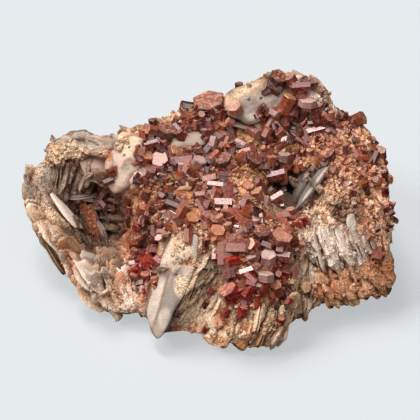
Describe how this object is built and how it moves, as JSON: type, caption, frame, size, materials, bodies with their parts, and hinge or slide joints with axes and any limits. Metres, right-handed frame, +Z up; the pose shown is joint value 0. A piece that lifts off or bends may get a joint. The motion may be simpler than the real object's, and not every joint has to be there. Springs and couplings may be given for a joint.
{
  "type": "vanadinite on matrix",
  "caption": "Hand specimen of red-brown hexagonal vanadinite crystals on pale bladed baryte matrix, cut flat underneath so that it rests on its base.",
  "frame": {"origin": "middle of the bounding box on the cut base", "axes": "+X along the specimen's length to the right of the shown side, -Y towards the shown side, +Z up"},
  "size_m": [0.093, 0.0747, 0.0436],
  "materials": {
    "baryte_stone": "rough, dull to waxy, iron stained",
    "vanadinite_red": "glossy sides, dusted end faces"
  },
  "bodies": {
    "root": {"baryte_matrix": "baryte_stone", "vanadinite_cluster_01": "vanadinite_red", "vanadinite_cluster_02": "vanadinite_red", "vanadinite_cluster_08": "vanadinite_red", "vanadinite_cluster_11": "vanadinite_red", "vanadinite_cluster_12": "vanadinite_red", "vanadinite_cluster_13": "vanadinite_red", "vanadinite_cluster_14": "vanadinite_red", "vanadinite_cluster_20": "vanadinite_red", "vanadinite_cluster_25": "vanadinite_red", "vanadinite_cluster_29": "vanadinite_red", "vanadinite_cluster_30": "vanadinite_red", "vanadinite_cluster_42": "vanadinite_red", "vanadinite_cluster_44": "vanadinite_red", "vanadinite_cluster_46": "vanadinite_red", "vanadinite_cluster_47": "vanadinite_red", "vanadinite_cluster_50": "vanadinite_red", "vanadinite_crystal_03": "vanadinite_red", "vanadinite_crystal_04": "vanadinite_red", "vanadinite_crystal_05": "vanadinite_red", "vanadinite_crystal_06": "vanadinite_red", "vanadinite_crystal_07": "vanadinite_red", "vanadinite_crystal_09": "vanadinite_red", "vanadinite_crystal_10": "vanadinite_red", "vanadinite_crystal_15": "vanadinite_red", "vanadinite_crystal_16": "vanadinite_red", "vanadinite_crystal_17": "vanadinite_red", "vanadinite_crystal_18": "vanadinite_red", "vanadinite_crystal_19": "vanadinite_red", "vanadinite_crystal_21": "vanadinite_red", "vanadinite_crystal_22": "vanadinite_red", "vanadinite_crystal_23": "vanadinite_red", "vanadinite_crystal_24": "vanadinite_red", "vanadinite_crystal_26": "vanadinite_red", "vanadinite_crystal_27": "vanadinite_red", "vanadinite_crystal_28": "vanadinite_red", "vanadinite_crystal_31": "vanadinite_red", "vanadinite_crystal_32": "vanadinite_red", "vanadinite_crystal_33": "vanadinite_red", "vanadinite_crystal_34": "vanadinite_red", "vanadinite_crystal_35": "vanadinite_red", "vanadinite_crystal_36": "vanadinite_red", "vanadinite_crystal_37": "vanadinite_red", "vanadinite_crystal_38": "vanadinite_red", "vanadinite_crystal_39": "vanadinite_red", "vanadinite_crystal_40": "vanadinite_red", "vanadinite_crystal_41": "vanadinite_red", "vanadinite_crystal_43": "vanadinite_red", "vanadinite_crystal_45": "vanadinite_red", "vanadinite_crystal_48": "vanadinite_red", "vanadinite_crystal_49": "vanadinite_red"}
  },
  "joints": []
}
